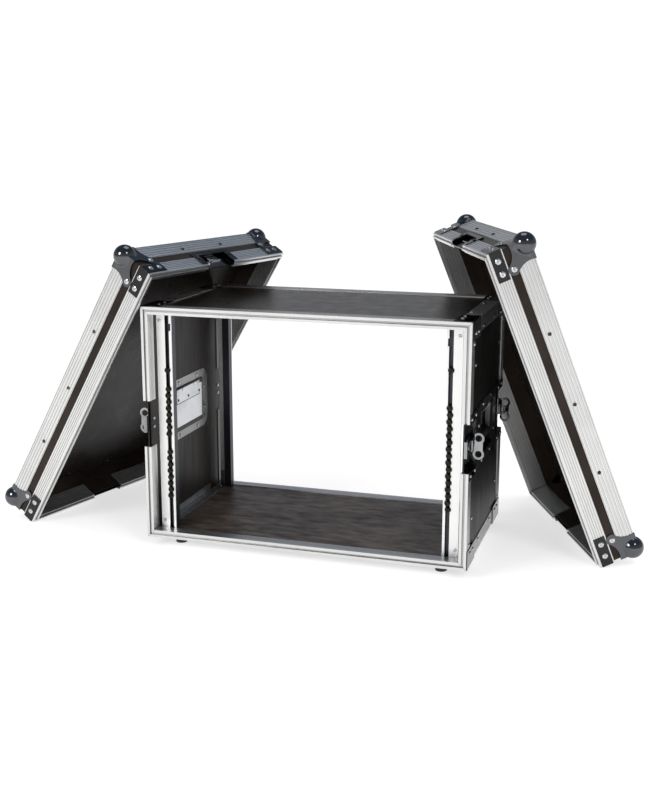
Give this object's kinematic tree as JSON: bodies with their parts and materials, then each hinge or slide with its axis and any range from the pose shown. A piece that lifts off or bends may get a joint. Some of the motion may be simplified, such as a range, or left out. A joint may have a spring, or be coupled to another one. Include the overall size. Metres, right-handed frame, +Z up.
{
  "type": "rack flight case",
  "caption": "Double-door 19-inch rack flight case on rubber feet, open front and rear, with both lids taken off and leaning on its sides.",
  "frame": {"origin": "on the floor, under the middle of the case body", "axes": "+X across the case to its right as seen from the front, +Y from the front opening to the rear opening, +Z up"},
  "size_m": [1.1003, 0.5243, 0.5299],
  "materials": {
    "laminate": "plywood with a dark, fine-textured laminate",
    "profile": "extruded, satin anodised",
    "black_steel": "black zinc, semi-gloss",
    "bright_steel": "nickel-plated steel",
    "chrome": "dark chrome",
    "zinc": "zinc-plated steel, matt",
    "rail": "extruded, fine satin",
    "rubber": "matt"
  },
  "bodies": {
    "case": {"top_panel": "laminate", "bottom_panel": "laminate", "left_panel": "laminate", "right_panel": "laminate", "top_edge_angles": "profile", "bottom_edge_angles": "profile", "front_frame": "profile", "rear_frame": "profile", "corner_braces": "black_steel", "body_rivets": "bright_steel", "front_left_rail": "rail", "front_right_rail": "rail", "rear_left_rail": "rail", "rear_right_rail": "rail", "rail_brackets": "zinc", "floor_angles": "zinc", "left_handle_dish": "zinc", "right_handle_dish": "zinc", "handle_backing_frames": "zinc", "handle_pins": "bright_steel", "latch_dishes": "bright_steel", "feet": "rubber", "foot_screws": "zinc"},
    "left_handle": {"left_handle_grip": "rubber"},
    "right_handle": {"right_handle_grip": "rubber"},
    "front_left_hook_slide": {"front_left_hook": "bright_steel"},
    "front_left_rotor_turn": {"front_left_rotor": "zinc"},
    "front_left_wing_fold": {"front_left_wing": "bright_steel"},
    "front_right_hook_slide": {"front_right_hook": "bright_steel"},
    "front_right_rotor_turn": {"front_right_rotor": "zinc"},
    "front_right_wing_fold": {"front_right_wing": "bright_steel"},
    "rear_left_hook_slide": {"rear_left_hook": "bright_steel"},
    "rear_left_rotor_turn": {"rear_left_rotor": "zinc"},
    "rear_left_wing_fold": {"rear_left_wing": "bright_steel"},
    "rear_right_hook_slide": {"rear_right_hook": "bright_steel"},
    "rear_right_rotor_turn": {"rear_right_rotor": "zinc"},
    "rear_right_wing_fold": {"rear_right_wing": "bright_steel"},
    "left_lid": {"left_lid_panel": "laminate", "left_lid_boards": "laminate", "left_lid_angles": "profile", "left_lid_frame": "profile", "left_lid_ball_corners": "chrome", "left_lid_corner_plates": "black_steel", "left_lid_catch_dishes": "bright_steel", "left_lid_keepers": "bright_steel", "left_lid_rivets": "bright_steel"},
    "right_lid": {"right_lid_panel": "laminate", "right_lid_boards": "laminate", "right_lid_angles": "profile", "right_lid_frame": "profile", "right_lid_ball_corners": "chrome", "right_lid_corner_plates": "black_steel", "right_lid_catch_dishes": "bright_steel", "right_lid_keepers": "bright_steel", "right_lid_rivets": "bright_steel"},
    "screws_left_bottom_row": {"screws_left_bottom": "black_steel"},
    "screws_left_middle_row": {"screws_left_middle": "black_steel"},
    "screws_left_top_row": {"screws_left_top": "black_steel"},
    "screws_right_bottom_row": {"screws_right_bottom": "black_steel"},
    "screws_right_top_row": {"screws_right_top": "black_steel"}
  },
  "joints": [
    {"name": "left_lid_lift_off", "type": "slide", "parent": "case", "child": "left_lid", "axis": [-1, 0, 0], "range_m": [0, 0.3]},
    {"name": "right_lid_lift_off", "type": "slide", "parent": "case", "child": "right_lid", "axis": [1, 0, 0], "range_m": [0, 0.3]},
    {"name": "left_handle_lift", "type": "hinge", "parent": "case", "child": "left_handle", "pos_m": [-0.2614, 0, 0.2365], "axis": [0, 1, 0], "range_deg": [0, 90], "stiffness_Nm_per_rad": 0.12},
    {"name": "right_handle_lift", "type": "hinge", "parent": "case", "child": "right_handle", "pos_m": [0.2614, 0, 0.2365], "axis": [0, -1, 0], "range_deg": [0, 90], "stiffness_Nm_per_rad": 0.12},
    {"name": "front_left_latch_turn", "type": "hinge", "parent": "case", "child": "front_left_rotor_turn", "pos_m": [-0.2675, -0.127, 0.2085], "axis": [-1, 0, 0], "range_deg": [0, 180]},
    {"name": "front_left_latch_wing", "type": "hinge", "parent": "front_left_rotor_turn", "child": "front_left_wing_fold", "pos_m": [-0.267, -0.127, 0.2085], "axis": [0, 0, -1], "range_deg": [0, 90]},
    {"name": "front_left_latch_hook", "type": "slide", "parent": "case", "child": "front_left_hook_slide", "axis": [0, 1, 0], "range_m": [0, 0.008]},
    {"name": "front_right_latch_turn", "type": "hinge", "parent": "case", "child": "front_right_rotor_turn", "pos_m": [0.2675, -0.127, 0.2085], "axis": [1, 0, 0], "range_deg": [0, 180]},
    {"name": "front_right_latch_wing", "type": "hinge", "parent": "front_right_rotor_turn", "child": "front_right_wing_fold", "pos_m": [0.267, -0.127, 0.2085], "axis": [0, 0, 1], "range_deg": [0, 90]},
    {"name": "front_right_latch_hook", "type": "slide", "parent": "case", "child": "front_right_hook_slide", "axis": [0, 1, 0], "range_m": [0, 0.008]},
    {"name": "rear_left_latch_turn", "type": "hinge", "parent": "case", "child": "rear_left_rotor_turn", "pos_m": [-0.2675, 0.127, 0.2085], "axis": [-1, 0, 0], "range_deg": [0, 180]},
    {"name": "rear_left_latch_wing", "type": "hinge", "parent": "rear_left_rotor_turn", "child": "rear_left_wing_fold", "pos_m": [-0.267, 0.127, 0.2085], "axis": [0, 0, 1], "range_deg": [0, 90]},
    {"name": "rear_left_latch_hook", "type": "slide", "parent": "case", "child": "rear_left_hook_slide", "axis": [0, -1, 0], "range_m": [0, 0.008]},
    {"name": "rear_right_latch_turn", "type": "hinge", "parent": "case", "child": "rear_right_rotor_turn", "pos_m": [0.2675, 0.127, 0.2085], "axis": [1, 0, 0], "range_deg": [0, 180]},
    {"name": "rear_right_latch_wing", "type": "hinge", "parent": "rear_right_rotor_turn", "child": "rear_right_wing_fold", "pos_m": [0.267, 0.127, 0.2085], "axis": [0, 0, -1], "range_deg": [0, 90]},
    {"name": "rear_right_latch_hook", "type": "slide", "parent": "case", "child": "rear_right_hook_slide", "axis": [0, -1, 0], "range_m": [0, 0.008]},
    {"name": "left_bottom_screws_slide", "type": "slide", "parent": "case", "child": "screws_left_bottom_row", "axis": [0, 0, 1], "range_m": [-0.05, 0.0198]},
    {"name": "left_middle_screws_slide", "type": "slide", "parent": "case", "child": "screws_left_middle_row", "axis": [0, 0, 1], "range_m": [-0.0198, 0.0204]},
    {"name": "left_top_screws_slide", "type": "slide", "parent": "case", "child": "screws_left_top_row", "axis": [0, 0, 1], "range_m": [-0.0204, 0.0595]},
    {"name": "right_bottom_screws_slide", "type": "slide", "parent": "case", "child": "screws_right_bottom_row", "axis": [0, 0, 1], "range_m": [-0.07, 0.047]},
    {"name": "right_top_screws_slide", "type": "slide", "parent": "case", "child": "screws_right_top_row", "axis": [0, 0, 1], "range_m": [-0.047, 0.031]}
  ],
  "couplings": [
    {"joint": "front_left_latch_turn", "follows": "front_left_latch_hook", "rad_per_m": 392.69},
    {"joint": "front_right_latch_turn", "follows": "front_right_latch_hook", "rad_per_m": 392.69},
    {"joint": "rear_left_latch_turn", "follows": "rear_left_latch_hook", "rad_per_m": 392.69},
    {"joint": "rear_right_latch_turn", "follows": "rear_right_latch_hook", "rad_per_m": 392.69}
  ]
}
